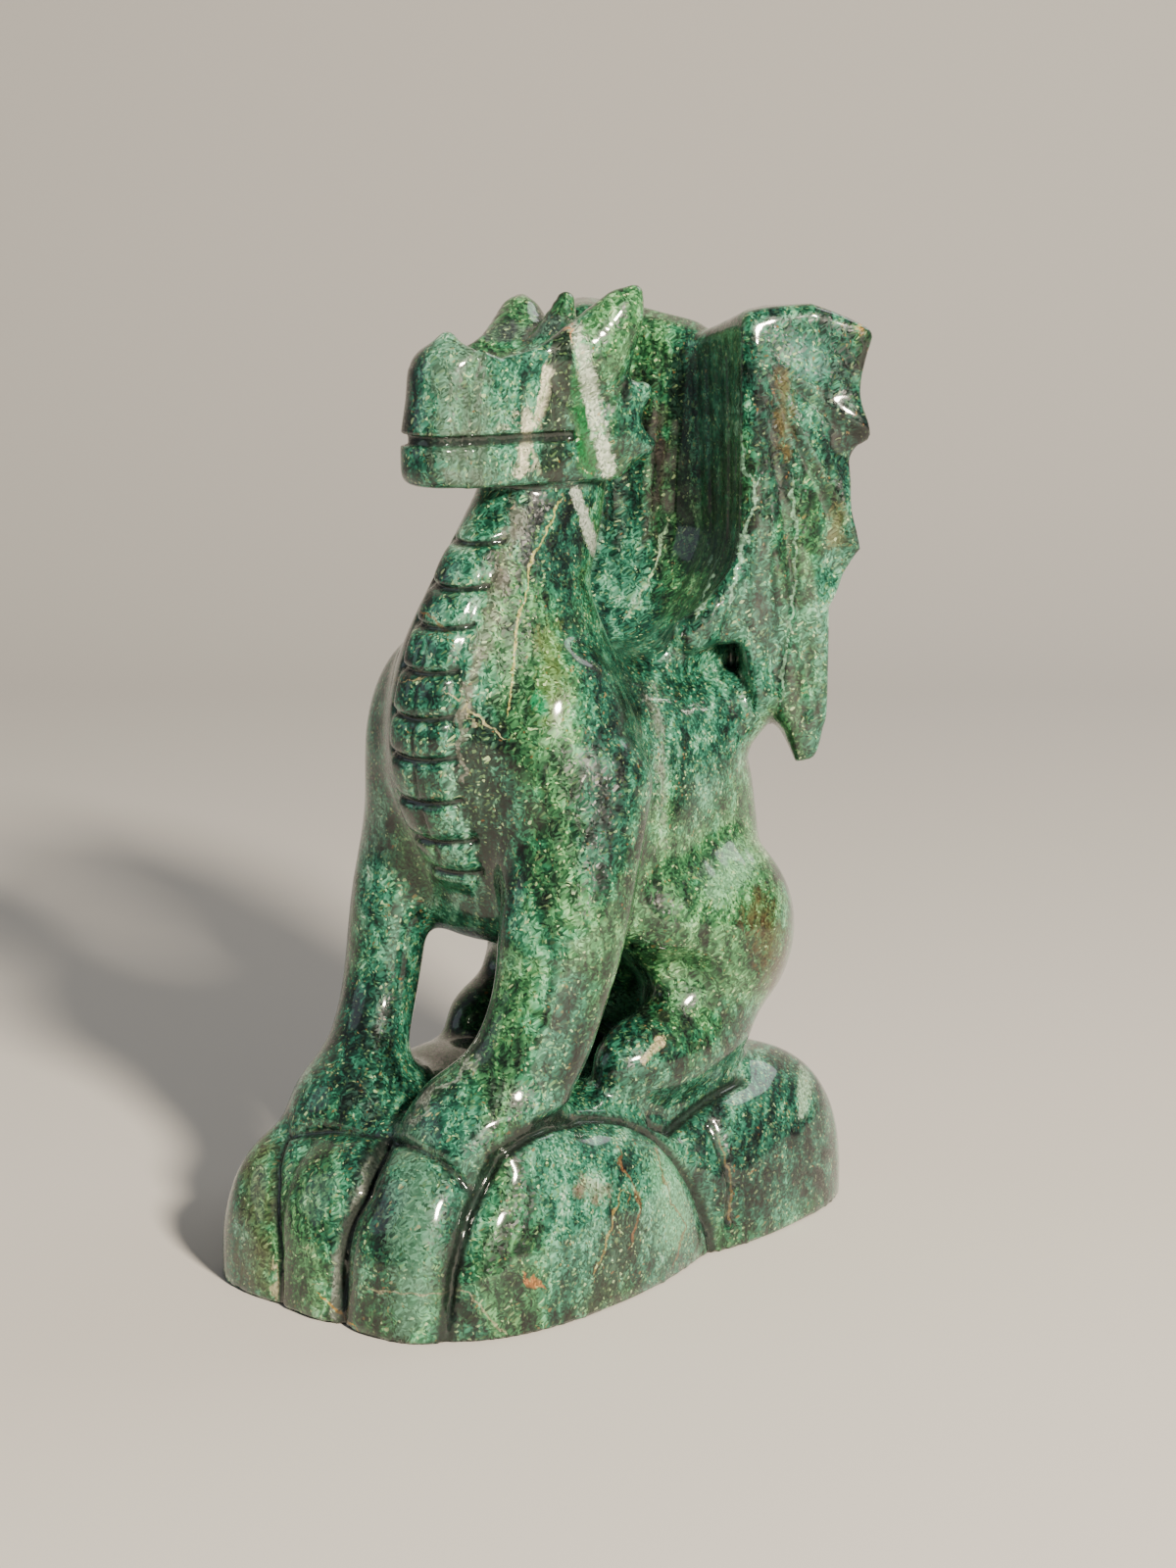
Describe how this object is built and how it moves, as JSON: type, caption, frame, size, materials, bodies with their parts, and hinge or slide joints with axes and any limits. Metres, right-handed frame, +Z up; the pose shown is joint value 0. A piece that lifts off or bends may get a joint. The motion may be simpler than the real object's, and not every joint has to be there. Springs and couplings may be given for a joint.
{
  "type": "carved dragon figurine",
  "caption": "Seated winged dragon carved with its boulder mound from one block of polished green stone; stands as a decorative figure.",
  "frame": {"origin": "middle of the carving's bounding box, on the flat underside", "axes": "+Z up, the dragon faces -Y, its left side is +X"},
  "size_m": [0.1072, 0.1774, 0.2574],
  "materials": {
    "jade": "polished"
  },
  "bodies": {
    "root": {"dragon_carving": "jade"}
  },
  "joints": []
}
